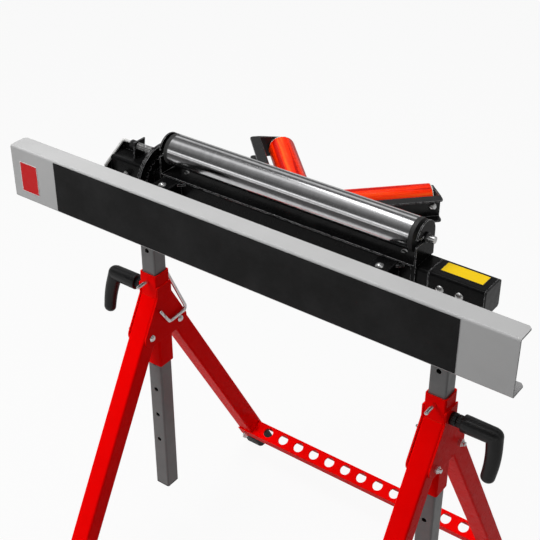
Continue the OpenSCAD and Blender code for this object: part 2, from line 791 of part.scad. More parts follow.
// Sockets on the beam's front, with flat gussets, and the fence's arms inside them
socket_wall = 2.5;
socket_len = 50;
gusset = 10;           // length of a gusset's sides
gusset_t = 4;
socket_r = 3;
module arm_sockets() {
    color(black_paint) for (x = arm_x)
        translate([x, -beam_half, axis_z + arm_mid]) difference() {
            union() {
                rotate([90, 0, 0]) square_tube(socket_w, socket_wall, socket_len, socket_r);
                translate([socket_w / 2, 0, socket_w / 2 - socket_r - gusset_t])
                    linear_extrude(gusset_t) polygon([[0, 0], [gusset, 0], [0, -gusset]]);
            }
            translate([0, -arm_bolt_y, 0])
                cylinder(r = bolt_d / 2 + run_gap, h = 2 * socket_w, center = true);
        }
}

arm_bolt_y = 30;       // distance of the arm bolt from the beam's front face
arm_w = socket_w - 2 * socket_wall - 2 * slide_gap;
arm_in = 46;           // arm inside the socket
arm_wall = 2;
arm_pad_t = 4;
arm_pad = [70, 50];
module fence_arms() {
    start = beam_half + socket_len - arm_in;
    stop = fence_y - fence_t;
    color(black_paint) for (x = arm_x)
        translate([x, -start, axis_z + arm_mid]) difference() {
            union() {
                rotate([90, 0, 0]) square_tube(arm_w, arm_wall, stop - start, arm_wall);
                translate([-arm_pad[0] / 2, start - stop, -arm_pad[1] / 2])
                    cube([arm_pad[0], arm_pad_t, arm_pad[1]]);
            }
            translate([0, start - beam_half - arm_bolt_y, 0])
                cylinder(r = bolt_d / 2 + run_gap, h = 2 * socket_w, center = true);
            for (k = [-1, 1]) translate([k * pad_screw, start - stop, 0]) along_y()
                cylinder(r = screw_d / 2 + run_gap, h = 4 * arm_pad_t, center = true);
        }
}

module arm_bolts() {
    len = socket_w + nut_h + collar_h + tail;
    color(zinc) for (x = arm_x)
        translate([x, -beam_half - arm_bolt_y, axis_z + arm_mid]) {
            translate([0, 0, socket_w / 2]) dome_bolt(bolt_d, len);
            translate([0, 0, -socket_w / 2]) lock_nut(bolt_d);
        }
}

/* V rollers */
v_web = 39.5;          // distance of the web's inner face from the roller's axis
v_channel_up = 5.5;    // middle of the channel above the roller's axis
v_axle_d = 8;
v_gap = 4;             // between a V roller's end and its ear
ear_t = 3;             // thickness of the ears that hold the axle
v_ear = [v_start - v_gap - ear_t, v_start + v_roller_len + v_gap];
v_end = v_ear[1] + ear_t;                     // outer end of the V channel
v_edge = v_web + v_channel_d;                 // outer edge of the flanges
v_bend_r = 3;          // outside radius of the channel's bends
flange_r = 6;          // radius of the flanges' outer corners

// Right-hand V frame: local X runs out along the roller, local Y towards its inside
module v_frame(s) {
    mirror([s > 0 ? 0 : 1, 0, 0]) translate([0, v_y, axis_z + v_up]) rotate([0, 0, v_angle])
        children();
}

// Channel with its web beside the roller and its flanges turned away from it
module v_profile() {
    t = v_channel_t;
    h = v_channel_h;
    translate([0, v_channel_up - h / 2]) difference() {
        hull() {
            translate([-v_edge, 0]) square([v_channel_d / 2, h]);
            for (z = [v_bend_r, h - v_bend_r]) translate([-v_web - v_bend_r, z])
                circle(v_bend_r);
        }
        translate([-v_edge - t, t]) square([v_channel_d, h - 2 * t]);
    }
}

// What the rounding takes off the flanges' outer corners, seen from above
module v_flange_corner() {
    difference() {
        translate([v_end - flange_r, -v_edge - cut]) square(flange_r + cut);
        translate([v_end - flange_r, -v_edge + flange_r]) circle(flange_r);
    }
}

// End ear: from the channel's web to the nose about the axle
nose = 12;             // nose of the ear beyond the axle
nose_top = 21;         // top of the nose above the axle
module v_ear_outline() {
    top = v_channel_up + v_channel_h / 2;
    difference() {
        polygon([
            [-v_web - v_channel_t / 2, top], [nose / 2, nose_top], [nose, nose / 2],
            [nose, -nose / 2], [0, top - v_channel_h],
            [-v_web - v_channel_t / 2, top - v_channel_h]]);
        circle(v_axle_d / 2 + run_gap);
    }
}

module v_channel(s) {
    long = 2 * v_end;
    color(black_paint) difference() {
        v_frame(s) {
            translate([v_end - long, 0, 0]) rotate([90, 0, 90]) linear_extrude(long) v_profile();
            for (x = v_ear) translate([x, 0, 0]) rotate([90, 0, 90]) linear_extrude(ear_t)
                v_ear_outline();
        }
        v_frame(s) translate([0, 0, -long]) linear_extrude(2 * long) v_flange_corner();
        // the channel ends on the beam's back face, and above it behind the roller frame
        translate([-long, beam_half - 2 * long, axis_z - long])
            cube([2 * long, 2 * long, 2 * long]);
        translate([-long, frame_w / 2 + seat_gap - 2 * long, axis_z + beam_half - seat_gap])
            cube([2 * long, 2 * long, long]);
        v_frame(s) translate([v_screw_x, -v_web, v_channel_up]) along_y()
            cylinder(d = bolt_d + 2 * run_gap, h = 3 * v_channel_t, center = true);
    }
}

module v_channel_left() { v_channel(-1); }
module v_channel_right() { v_channel(1); }

v_tail = nut_h + collar_h + tail;             // axle beyond each ear
module v_axles() {
    color(zinc) for (s = [-1, 1]) v_frame(s)
        translate([v_ear[0] - v_tail, 0, 0]) along_x()
            cylinder(d = v_axle_d, h = v_end - v_ear[0] + 2 * v_tail);
}

module v_axle_nuts() {
    color(zinc) for (s = [-1, 1]) v_frame(s) {
        translate([v_end, 0, 0]) rotate([0, -90, 0]) lock_nut(v_axle_d);
        translate([v_ear[0], 0, 0]) rotate([0, 90, 0]) lock_nut(v_axle_d);
    }
}

// Bolts through the webs near the outer ends
v_screw_in = 13;       // from the channel's outer end
v_screw_x = v_end - v_screw_in;
module v_web_screws() {
    color(zinc) for (s = [-1, 1]) v_frame(s)
        translate([v_screw_x, -v_web - v_channel_t, v_channel_up]) rotate([90, 0, 0])
            dome_bolt(bolt_d, v_channel_t);
}

module v_roller(s) {
    color(orange_red) v_frame(s) translate([v_start, 0, 0]) along_x() difference() {
        cylinder(d = v_roller_d, h = v_roller_len);
        translate([0, 0, -cut]) cylinder(r = v_axle_d / 2 + run_gap, h = v_roller_len + 2 * cut);
    }
}

module v_roller_left() { v_roller(-1); }
module v_roller_right() { v_roller(1); }

/* Work roller */
cap_out = 8;           // cap beyond the steel tube
cap_in = 14;           // cap inside the steel tube
bearing_d = 32;
bearing_w = 10;
bearing_lip = 3;       // lip of the cap over the bearing
cap_bore = bearing_d / 2 - bearing_lip;
module roller_tube() {
    half = roller_len / 2 - cap_out;
    color("#dfe2e5") translate([roller_shift - half, 0, axis_z + roller_up]) along_x() difference() {
        cylinder(d = roller_d, h = 2 * half, $fn = 96);
        translate([0, 0, -cut])
            cylinder(d = roller_d - 2 * roller_wall, h = 2 * half + 2 * cut, $fn = 96);
    }
}

module roller_caps() {
    color(rubber) for (s = [-1, 1])
        translate([roller_shift + s * roller_len / 2, 0, axis_z + roller_up]) rotate([0, -s * 90, 0])
            difference() {
                union() {
                    cylinder(d = roller_d, h = cap_out, $fn = 96);
                    cylinder(d = roller_d - 2 * roller_wall, h = cap_out + cap_in, $fn = 96);
                }
                translate([0, 0, -cut]) cylinder(r = cap_bore, h = cap_out + cap_in + 2 * cut);
                translate([0, 0, cap_in + cap_out - bearing_w])
                    cylinder(r = bearing_d / 2 + run_gap, h = bearing_w + cut);
            }
}

module roller_bearings() {
    color(zinc) for (s = [-1, 1])
        translate([roller_shift + s * (roller_len / 2 - cap_in - cap_out), 0, axis_z + roller_up])
            rotate([0, s * 90, 0]) difference() {
                cylinder(d = bearing_d, h = bearing_w);
                translate([0, 0, -cut])
                    cylinder(r = axle_d / 2 + run_gap, h = bearing_w + 2 * cut);
            }
}

/* Clamp levers, each with its screw */
elbow_in = 0.5;          // the elbow is slimmer than the barrel
elbow_r = barrel_d / 2 - elbow_in;
tip_r = barrel_d * 0.41;                      // radius of the lever's tip
neck_r = barrel_d * 0.37;                     // radius of the neck behind the barrel
neck_len = 7;
arm_swell = 5;                                // the arm leans out sideways by this much
module clamp_lever(s) {
    near = post_x + cheek_out + clamp_reach;
    far = near + barrel_len;
    start = post_x + post_w / 2 + seat_gap;      // end of the screw, at the post
    color(rubber) translate([0, 0, clamp_z]) mirror([s > 0 ? 0 : 1, 0, 0]) {
        translate([near, 0, 0]) along_x() cylinder(d = barrel_d, h = barrel_len - elbow_r);
        translate([near - neck_len, 0, 0]) along_x() cylinder(r = neck_r, h = 2 * neck_len);
        translate([start, 0, 0]) along_x() cylinder(d = clamp_d, h = near - start);
        rotate([-arm_lean, 0, 0]) {
            hull() {
                translate([far - elbow_r, 0, 0]) sphere(elbow_r, $fn = 32);
                translate([far - elbow_r + arm_swell / 2, 0, -arm_len / 2])
                    sphere((elbow_r + tip_r) / 2, $fn = 32);
            }
            hull() {
                translate([far - elbow_r + arm_swell / 2, 0, -arm_len / 2])
                    sphere((elbow_r + tip_r) / 2, $fn = 32);
                translate([far - elbow_r + arm_swell, 0, -arm_len]) sphere(tip_r, $fn = 32);
            }
        }
    }
}

module clamp_lever_left() { clamp_lever(-1); }
module clamp_lever_right() { clamp_lever(1); }

/* Locking pins */
// A bent rod through a list of points, with round bends
rod_sides = 16;
bend_steps = 6;                               // rings in each bend
function unit(v) = v / norm(v);

// Middle and direction of each ring about one bend
function bend_rings(a, corner, b, bend) = let (
    u = unit(corner - a),
    w = unit(b - corner),
    turn = acos(u * w),
    side = unit(w - u * (u * w)),
    centre = corner - u * bend * tan(turn / 2) + side * bend)
    [for (j = [0:bend_steps]) let (t = turn * j / bend_steps)
        [centre - side * bend * cos(t) + u * bend * sin(t), u * cos(t) + side * sin(t)]];

// A vector across each ring, carried along the rod without twisting
function across(rings, i, v) = let (t = rings[i][1], n = unit(v - t * (v * t)))
    i == len(rings) - 1 ? [n] : concat([n], across(rings, i + 1, n));

module bent_rod(points, d, bend) {
    last = len(points) - 1;
    rings = concat(
        [[points[0], unit(points[1] - points[0])]],
        [for (i = [1:last - 1])
            each bend_rings(points[i - 1], points[i], points[i + 1], bend)],
        [[points[last], unit(points[last] - points[last - 1])]]);
    normals = across(rings, 0, [0, 0, 1]);
    skin([for (i = [0:len(rings) - 1]) let (n = normals[i], m = cross(n, rings[i][1]))
        for (k = [0:rod_sides - 1]) let (a = 360 * k / rod_sides)
            rings[i][0] + d / 2 * (cos(a) * n + sin(a) * m)], rod_sides);
}

// The bail runs down behind the cheek and hooks forward beside it.
// Its corners are [back, up] from the pin's axis, as seen from the side.
bail_gap = 1.5;        // between the bail and the cheek
bail_out = 11;         // middle of the bail behind the sleeve
bail_x = cheek_out + bail_gap + pin_d / 2;
bail_back = sleeve_half + bail_out;
bail_points = [[57, -94], [4, -97], [-21, -59]];
module lock_pin(s) {
    // the bail lies on the side of the post that faces the middle of the stand
    color(zinc) translate([s * post_x, 0, pin_z]) mirror([s > 0 ? 1 : 0, 0, 0]) bent_rod(
        concat(
            [[0, -sleeve_half - pin_nose, 0], [0, bail_back, 0]],
            [for (p = bail_points) [bail_x, p[0], p[1]]]),
        pin_d, pin_bend_r);
}

module lock_pin_left() { lock_pin(-1); }
module lock_pin_right() { lock_pin(1); }

/* Index pin */
knob_d = 16;
knob_len = 11;
tip_past = 4;          // the pin's end, past the turning plate
index_tip = beam_end[0] + tip_past;
index_collar_d = 14;
module index_pin() {
    start = ear_x - knob_len + plug_t;
    color(zinc) translate([0, 0, axis_z + index_r]) {
        translate([start, 0, 0]) along_x() cylinder(d = index_d, h = index_tip - start);
        translate([collar_x, 0, 0]) along_x() cylinder(d = index_collar_d, h = collar_t);
    }
}

module index_knob() {
    color(rubber) translate([ear_x - seat_gap - knob_len, 0, axis_z + index_r]) along_x()
        difference() {
            cylinder(d = knob_d, h = knob_len);
            translate([0, 0, plug_t]) cylinder(r = index_d / 2 + run_gap, h = knob_len);
        }
}

sleeve_left();
sleeve_right();
leg_pivot_bolts();
leg_pivot_nuts();
leg_washers();
clamp_bosses();
leg_front_left();
leg_front_right();
brace_front();
brace_bolts_front();
feet_front();
leg_back_left();
leg_back_right();
brace_back();
brace_bolts_back();
feet_back();
post_left();
post_right();
post_plugs();
housing_left();
housing_right();
housing_cap();
trunnions();
housing_bolts();
housing_nuts();
index_plate_fixed();
index_bracket();
index_spring();
setting_label();
turning_beam();
beam_bushes();
index_plate_turning();
roller_frame();
roller_axle();
axle_clips();
axle_spacers();
frame_screws();
fence_channel();
grip_strip();
badge_plate();
arm_sockets();
fence_arms();
arm_bolts();
web_screws();
v_channel_left();
v_channel_right();
v_axles();
v_axle_nuts();
v_web_screws();
roller_tube();
roller_caps();
roller_bearings();
v_roller_left();
v_roller_right();
clamp_lever_left();
clamp_lever_right();
lock_pin_left();
lock_pin_right();
index_pin();
index_knob();
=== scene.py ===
import json
import math

import bpy
import numpy as np
from mathutils import Matrix, Vector


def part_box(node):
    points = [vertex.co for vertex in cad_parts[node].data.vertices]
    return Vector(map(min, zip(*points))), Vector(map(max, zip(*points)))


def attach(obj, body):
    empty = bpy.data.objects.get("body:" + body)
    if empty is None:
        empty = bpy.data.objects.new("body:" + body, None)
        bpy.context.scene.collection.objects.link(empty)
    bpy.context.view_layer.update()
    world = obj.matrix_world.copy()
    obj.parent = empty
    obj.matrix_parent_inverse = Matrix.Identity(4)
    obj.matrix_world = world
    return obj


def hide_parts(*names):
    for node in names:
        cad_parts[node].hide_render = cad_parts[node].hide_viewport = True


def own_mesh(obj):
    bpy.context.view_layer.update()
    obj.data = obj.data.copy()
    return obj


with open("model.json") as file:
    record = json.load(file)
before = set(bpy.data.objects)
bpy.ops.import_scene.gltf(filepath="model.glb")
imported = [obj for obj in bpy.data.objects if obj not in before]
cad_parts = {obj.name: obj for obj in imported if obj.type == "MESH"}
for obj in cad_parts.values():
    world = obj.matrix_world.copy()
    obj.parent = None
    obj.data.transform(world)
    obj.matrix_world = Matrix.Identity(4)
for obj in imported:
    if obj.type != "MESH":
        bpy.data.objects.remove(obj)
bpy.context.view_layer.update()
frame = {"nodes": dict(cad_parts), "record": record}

scene = bpy.context.scene

# Camera: the photograph's view, from the right and well above the fence
CAMERA_PLACE = Vector((0.9778, -1.3915, 1.8824))
CAMERA_RIGHT = Vector((0.8077, 0.5896, 0.0)).normalized()
CAMERA_BACK = Vector((0.4952, -0.6783, 0.5429)).normalized()
camera_data = bpy.data.cameras.new("view")
camera_data.sensor_width = 36
camera_data.lens = 77.5
camera_data.clip_end = 60
camera = bpy.data.objects.new("view", camera_data)
camera_up = CAMERA_BACK.cross(CAMERA_RIGHT)
camera.matrix_world = Matrix.Translation(CAMERA_PLACE) @ Matrix(
    (CAMERA_RIGHT, camera_up, CAMERA_BACK)).transposed().to_4x4()
scene.collection.objects.link(camera)
scene.camera = camera

# Places and sizes of the stand, in metres
POST_X = 0.315
PIVOT_Y, PIVOT_Z = 0.0425, 0.5345
SLEEVE_HALF = 0.02025
CHEEK_OUT = 0.02325
PIN_Z, CLAMP_Z = 0.648, 0.6175
CLAMP_R = 0.0118                          # ribbed collars, about the clamp screws
LEVER_NEAR, LEVER_FAR = 0.36125, 0.43425  # ends of a lever's barrel, from the middle
LEVER_R = 0.016
LEVER_LEN, LEVER_LEAN = 0.074, math.radians(15)
SHOULDER = 0.0155                         # where a barrel starts to round off, before its end
BAIL_IN = 0.02825                         # from the post's middle to its bail
WIRE_R, WIRE_BEND = 0.0035, 0.008         # lock pins
HEAD_Z = 0.8765
BEAM_HALF = 0.025
INDEX_Z = HEAD_Z + 0.048
SPRING_START, SPRING_STOP = -0.3341, -0.3054
# Pale bar on the index bracket's outer edges, a painted highlight
HIGHLIGHT_Y, HIGHLIGHT_TOP, HIGHLIGHT_END = 0.0135, HEAD_Z + 0.0415, -0.343
HIGHLIGHT_R, HIGHLIGHT_BEND = 0.0027, 0.007
ROLLER_UP, ROLLER_SHIFT, ROLLER_LEN = 0.0675, 0.002, 0.502
V_ANGLE = math.radians(45)
V_Y, V_UP, V_START, V_LEN, V_R = 0.044, 0.012, 0.0475, 0.176, 0.025
BOLT_R = 0.004
NUT_OUT, THREAD_OUT = 0.0078, 0.0046      # nut's face from its seat, and thread past the nut
HOUSING_BOLTS_X = (0.306, 0.340)
SOCKETS_X = (-0.232, 0.214)
SADDLE_WELDS_X = (-0.18, -0.06, 0.06, 0.16)


# Meshes worked out on grids
def new_piece(name, points, material, body, wrap=(False, True), caps=(False, False)):
    """Skin over a grid of points (rows, columns, 3). wrap joins the last row or column to the
    first; caps closes the first or last row with a fan to its middle."""
    rows, cols = points.shape[:2]
    index = np.arange(rows * cols).reshape(rows, cols)
    a = index if wrap[0] else index[:-1]
    b = np.roll(index, -1, 0) if wrap[0] else index[1:]
    if wrap[1]:
        quads = np.stack([a, np.roll(a, -1, 1), np.roll(b, -1, 1), b], -1).reshape(-1, 4)
    else:
        quads = np.stack([a[:, :-1], a[:, 1:], b[:, 1:], b[:, :-1]], -1).reshape(-1, 4)
    verts = points.reshape(-1, 3)
    faces = quads.tolist()
    for row, ring in ((0, index[0][::-1]), (1, index[-1])):
        if caps[row]:
            middle = len(verts)
            verts = np.vstack([verts, points[0 if row == 0 else -1].mean(0)])
            faces += np.stack([ring, np.roll(ring, -1), np.full(cols, middle)], -1).tolist()
    return mesh_piece(name, verts, faces, material, body)


def mesh_piece(name, verts, faces, material, body):
    """A smooth mesh with its place in its points, riding on a body."""
    mesh = bpy.data.meshes.new(name)
    mesh.from_pydata(verts.tolist(), [], faces)
    mesh.polygons.foreach_set("use_smooth", np.full(len(mesh.polygons), True))
    mesh.materials.append(material)
    mesh.update()
    piece = bpy.data.objects.new(name, mesh)
    scene.collection.objects.link(piece)
    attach(piece, body)
    return piece


def directions(path):
    """Unit tangent at each point of a path, from its neighbours."""
    step = np.gradient(path, axis=0)
    return step / np.linalg.norm(step, axis=1, keepdims=True)


def carried_frames(path):
    """Two unit vectors across each point of a path, carried along it without twisting."""
    along = directions(path)
    start = np.eye(3)[np.argmin(np.abs(along[0]))]
    normals = []
    for t in along:
        start = start - t * (start @ t)
        start = start / np.linalg.norm(start)
        normals.append(start)
    normals = np.array(normals)
    return normals, np.cross(along, normals)


def tube_points(path, radius, sides):
    """Ring of equal angles about each path point: middle + radius (n cos a + m sin a)."""
    n, m = carried_frames(path)
    angle = np.linspace(0, 2 * np.pi, sides, endpoint=False)
    radius = np.broadcast_to(radius, (len(path),))[:, None, None]
    ring = n[:, None] * np.cos(angle)[:, None] + m[:, None] * np.sin(angle)[:, None]
    return path[:, None] + radius * ring


def axis_frame(axis):
    """Three unit vectors of which the first is the axis."""
    axis = np.array(axis, float) / np.linalg.norm(axis)
    side = np.eye(3)[np.argmin(np.abs(axis))]
    side = np.cross(axis, side)
    side /= np.linalg.norm(side)
    return axis, side, np.cross(axis, side)


def lathe_points(place, axis, profile, sides=48):
    """Profile of [distance along the axis, radius] turned about the axis."""
    along, n, m = axis_frame(axis)
    angle = np.linspace(0, 2 * np.pi, sides, endpoint=False)
    ring = np.cos(angle)[:, None] * n + np.sin(angle)[:, None] * m
    profile = np.array(profile, float)
    return (np.array(place) + profile[:, :1, None] * along
            + profile[:, 1:, None] * ring[None])


def thread_points(place, axis, radius, length, pitch=0.00125, depth=0.0005, sides=24):
    """Screw thread: the radius falls and rises as a triangle wave of along / pitch - turn."""
    along, n, m = axis_frame(axis)
    rows = max(int(length / pitch * 6), 8)
    s = np.linspace(0, length, rows)
    turn = np.linspace(0, 1, sides, endpoint=False)
    wave = np.abs(((s[:, None] / pitch - turn[None]) % 1) - 0.5) * 2
    fade = np.clip(np.minimum(s, length - s) / pitch, 0, 1)[:, None]
    r = radius + 0.00012 - depth * (1 - wave) * fade - 0.0003 * (1 - fade)
    ring = np.cos(2 * np.pi * turn)[:, None] * n + np.sin(2 * np.pi * turn)[:, None] * m
    return np.array(place) + s[:, None, None] * along + r[..., None] * ring[None]


def weld_points(a, b, radius, sides=10):
    """Bead from a to b whose radius swells at each puddle, with slow uneven drift."""
    a, b = np.array(a, float), np.array(b, float)
    length = np.linalg.norm(b - a)
    rows = max(int(length / 0.0006), 12)
    t = np.linspace(0, 1, rows)
    s = t * length
    puddle = np.abs(np.sin(np.pi * s / 0.0032))
    drift = 0.08 * np.sin(s * 310 + a.sum() * 90) + 0.06 * np.sin(s * 127 + 2)
    ends = np.sqrt(np.clip(1 - (2 * np.abs(t - 0.5)) ** 24, 0.02, 1))
    return tube_points(a + (b - a) * t[:, None], radius * (0.86 + 0.16 * puddle + drift) * ends,
                       sides)


# Shader building
def node(tree, kind, **values):
    """Adds a node and sets its fields and its sockets."""
    made = tree.nodes.new(kind)
    for key, value in values.items():
        if hasattr(made, key):
            setattr(made, key, value)
        else:
            made.inputs[key.replace("_", " ")].default_value = value
    return made


def new_group(name, inputs, outputs):
    """An empty node group with its input and output sockets and their two nodes."""
    tree = bpy.data.node_groups.new(name, "ShaderNodeTree")
    for label, kind, value in inputs:
        socket = tree.interface.new_socket(label, in_out="INPUT", socket_type=kind)
        if value is not None:
            socket.default_value = value
    for label, kind in outputs:
        tree.interface.new_socket(label, in_out="OUTPUT", socket_type=kind)
    return tree, tree.nodes.new("NodeGroupInput"), tree.nodes.new("NodeGroupOutput")


def math_node(tree, operation, a, b=None, clamp=False):
    """Math node on two values or sockets; gives its output."""
    made = tree.nodes.new("ShaderNodeMath")
    made.operation = operation
    made.use_clamp = clamp
    for socket, value in zip(made.inputs, (a, b)):
        if value is None:
            continue
        if isinstance(value, (int, float)):
            socket.default_value = value
        else:
            tree.links.new(value, socket)
    return made.outputs[0]


def ramp(tree, source, low, high):
    """Value from 0 at low to 1 at high."""
    made = tree.nodes.new("ShaderNodeMapRange")
    made.inputs["From Min"].default_value = low
    made.inputs["From Max"].default_value = high
    tree.links.new(source, made.inputs["Value"])
    return made.outputs[0]


def mix(tree, fac, a, b):
    """Colour mix of two colours or sockets."""
    made = tree.nodes.new("ShaderNodeMix")
    made.data_type = "RGBA"
    colour_a, colour_b = made.inputs[6], made.inputs[7]
    for socket, value in ((made.inputs[0], fac), (colour_a, a), (colour_b, b)):
        if isinstance(value, (int, float, tuple)):
            socket.default_value = value
        else:
            tree.links.new(value, socket)
    return made.outputs[2]


def noise(tree, place, scale, detail=3.0, rough=0.5):
    """Noise texture on a place vector; gives its value."""
    made = tree.nodes.new("ShaderNodeTexNoise")
    made.inputs["Scale"].default_value = scale
    made.inputs["Detail"].default_value = detail
    made.inputs["Roughness"].default_value = rough
    tree.links.new(place, made.inputs["Vector"])
    return made.outputs["Fac"]


def make_edge_group():
    """Mask of edges that are worn and, on some paints, given a painted highlight: where a rounded
    normal leaves the real one, broken up by noise.
    """
    tree, inputs, outputs = new_group(
        "worn and highlit edges", [("Place", "NodeSocketVector", None), ("Amount", "NodeSocketFloat", 0.5)],
        [("Mask", "NodeSocketFloat")])
    bevel = node(tree, "ShaderNodeBevel", samples=4)
    bevel.inputs["Radius"].default_value = 0.0015
    shape = tree.nodes.new("ShaderNodeNewGeometry")
    dot = node(tree, "ShaderNodeVectorMath", operation="DOT_PRODUCT")
    tree.links.new(bevel.outputs[0], dot.inputs[0])
    tree.links.new(shape.outputs["Normal"], dot.inputs[1])
    edge = ramp(tree, dot.outputs["Value"], 0.995, 0.86)
    broken = ramp(tree, noise(tree, inputs.outputs["Place"], 160, 5, 0.6), 0.36, 0.54)
    both = math_node(tree, "MULTIPLY", edge, broken)
    tree.links.new(math_node(tree, "MULTIPLY", both, inputs.outputs["Amount"], True),
                   outputs.inputs["Mask"])
    return tree


def make_coat_group():
    """Powder coat: slow colour drift, faint dust, fine orange peel and rub marks."""
    tree, inputs, outputs = new_group(
        "powder coat",
        [("Place", "NodeSocketVector", None), ("Colour", "NodeSocketColor", None),
         ("Dust", "NodeSocketFloat", 0.1)],
        [("Colour", "NodeSocketColor"), ("Roughness", "NodeSocketFloat"),
         ("Height", "NodeSocketFloat")])
    place = inputs.outputs["Place"]
    drift = noise(tree, place, 9, 3)
    shade = node(tree, "ShaderNodeHueSaturation")
    tree.links.new(inputs.outputs["Colour"], shade.inputs["Color"])
    tree.links.new(math_node(tree, "MULTIPLY_ADD", drift, 0.22), shade.inputs["Value"])
    shade.inputs["Value"].links[0].from_node.inputs[2].default_value = 0.89
    smear = ramp(tree, noise(tree, place, 34, 6, 0.68), 0.48, 0.78)
    dusty = math_node(tree, "MULTIPLY", smear, inputs.outputs["Dust"])
    tree.links.new(mix(tree, dusty, shade.outputs[0], (0.42, 0.40, 0.38, 1)),
                   outputs.inputs["Colour"])
    rub = ramp(tree, noise(tree, place, 70, 5, 0.6), 0.35, 0.7)
    tree.links.new(math_node(tree, "MULTIPLY", rub, 0.14), outputs.inputs["Roughness"])
    peel = noise(tree, place, 900, 2, 0.4)
    tree.links.new(peel, outputs.inputs["Height"])
    return tree


def make_metal_group():
    """Plated metal: cloudy tone, fine scratches in two directions and small pits."""
    tree, inputs, outputs = new_group(
        "plated metal",
        [("Place", "NodeSocketVector", None), ("Bright", "NodeSocketColor", None),
         ("Dull", "NodeSocketColor", None)],
        [("Colour", "NodeSocketColor"), ("Roughness", "NodeSocketFloat"),
         ("Height", "NodeSocketFloat")])
    place = inputs.outputs["Place"]
    cloud = ramp(tree, noise(tree, place, 60, 5, 0.62), 0.35, 0.72)
    tree.links.new(mix(tree, cloud, inputs.outputs["Bright"], inputs.outputs["Dull"]),
                   outputs.inputs["Colour"])
    stretch = node(tree, "ShaderNodeMapping")
    stretch.inputs["Scale"].default_value = (30, 900, 900)
    tree.links.new(place, stretch.inputs["Vector"])
    lines = noise(tree, stretch.outputs[0], 1.4, 3, 0.6)
    pits = noise(tree, place, 1400, 2, 0.5)
    tree.links.new(math_node(tree, "MULTIPLY", cloud, 0.16), outputs.inputs["Roughness"])
    tree.links.new(math_node(tree, "ADD", lines, pits), outputs.inputs["Height"])
    return tree


EDGES, COAT, METAL = make_edge_group(), make_coat_group(), make_metal_group()


def start_material(name, **surface):
    """Material with a Principled surface, its constant sockets and its Object coordinates."""
    material = bpy.data.materials.new(name)
    material.use_nodes = True
    tree = material.node_tree
    principled = tree.nodes["Principled BSDF"]
    for key, value in surface.items():
        principled.inputs[key.replace("_", " ")].default_value = value
    place = tree.nodes.new("ShaderNodeTexCoord").outputs["Object"]
    return material, tree, principled, place


def use_group(tree, group, place, **values):
    """Places a group, feeds its Place and its other inputs."""
    made = tree.nodes.new("ShaderNodeGroup")
    made.node_tree = group
    tree.links.new(place, made.inputs["Place"])
    for key, value in values.items():
        if hasattr(value, "links"):
            tree.links.new(value, made.inputs[key])
        else:
            made.inputs[key].default_value = value
    return made


def bump(tree, principled, height, strength, distance, rounded=True):
    """Bump from a height, over edges rounded in the shading."""
    made = tree.nodes.new("ShaderNodeBump")
    made.inputs["Strength"].default_value = strength
    made.inputs["Distance"].default_value = distance
    tree.links.new(height, made.inputs["Height"])
    if rounded:
        bevel = node(tree, "ShaderNodeBevel", samples=4)
        bevel.inputs["Radius"].default_value = 0.0009
        tree.links.new(bevel.outputs[0], made.inputs["Normal"])
    tree.links.new(made.outputs[0], principled.inputs["Normal"])


def painted(name, colour, rough, dust=0.06, wear_and_highlight=0.5, bare_and_highlight=(0.36, 0.35, 0.34, 1), peel=0.12,
            gloss=0.3):
    """Powder coated steel: orange peel, dust, and edges rubbed to the metal, which on some paints
    also carry a painted highlight.
    """
    material, tree, principled, place = start_material(name, Specular_IOR_Level=gloss)
    layer = use_group(tree, COAT, place, Colour=(*colour, 1), Dust=dust)
    # Edges take the edge colour: rubbed metal on some paints, a painted highlight along the edges
    # on others.
    worn = use_group(tree, EDGES, place, Amount=wear_and_highlight).outputs[0]
    tree.links.new(mix(tree, worn, layer.outputs["Colour"], bare_and_highlight), principled.inputs["Base Color"])
    tree.links.new(math_node(tree, "ADD", layer.outputs["Roughness"], rough),
                   principled.inputs["Roughness"])
    tree.links.new(math_node(tree, "MULTIPLY", worn, 0.7), principled.inputs["Metallic"])
    bump(tree, principled, layer.outputs["Height"], peel, 0.0004)
    return material


def plated(name, bright, dull, rough, height=0.08):
    """Plated or turned steel with a cloudy sheen and fine scratches."""
    material, tree, principled, place = start_material(name, Metallic=1.0)
    layer = use_group(tree, METAL, place, Bright=(*bright, 1), Dull=(*dull, 1))
    tree.links.new(layer.outputs["Colour"], principled.inputs["Base Color"])
    tree.links.new(math_node(tree, "ADD", layer.outputs["Roughness"], rough),
                   principled.inputs["Roughness"])
    bump(tree, principled, layer.outputs["Height"], height, 0.0003)
    return material


def moulded(name, colour, rough, grain, scale=1500, dust=0.05, sheen=0.0, gloss=0.35):
    """Moulded plastic or rubber: even grain, faint dust in the low places."""
    material, tree, principled, place = start_material(
        name, Sheen_Weight=sheen, Specular_IOR_Level=gloss)
    layer = use_group(tree, COAT, place, Colour=(*colour, 1), Dust=dust)
    tree.links.new(layer.outputs["Colour"], principled.inputs["Base Color"])
    tree.links.new(math_node(tree, "ADD", layer.outputs["Roughness"], rough),
                   principled.inputs["Roughness"])
    bump(tree, principled, noise(tree, place, scale, 2, 0.5), grain, 0.0005)
    return material


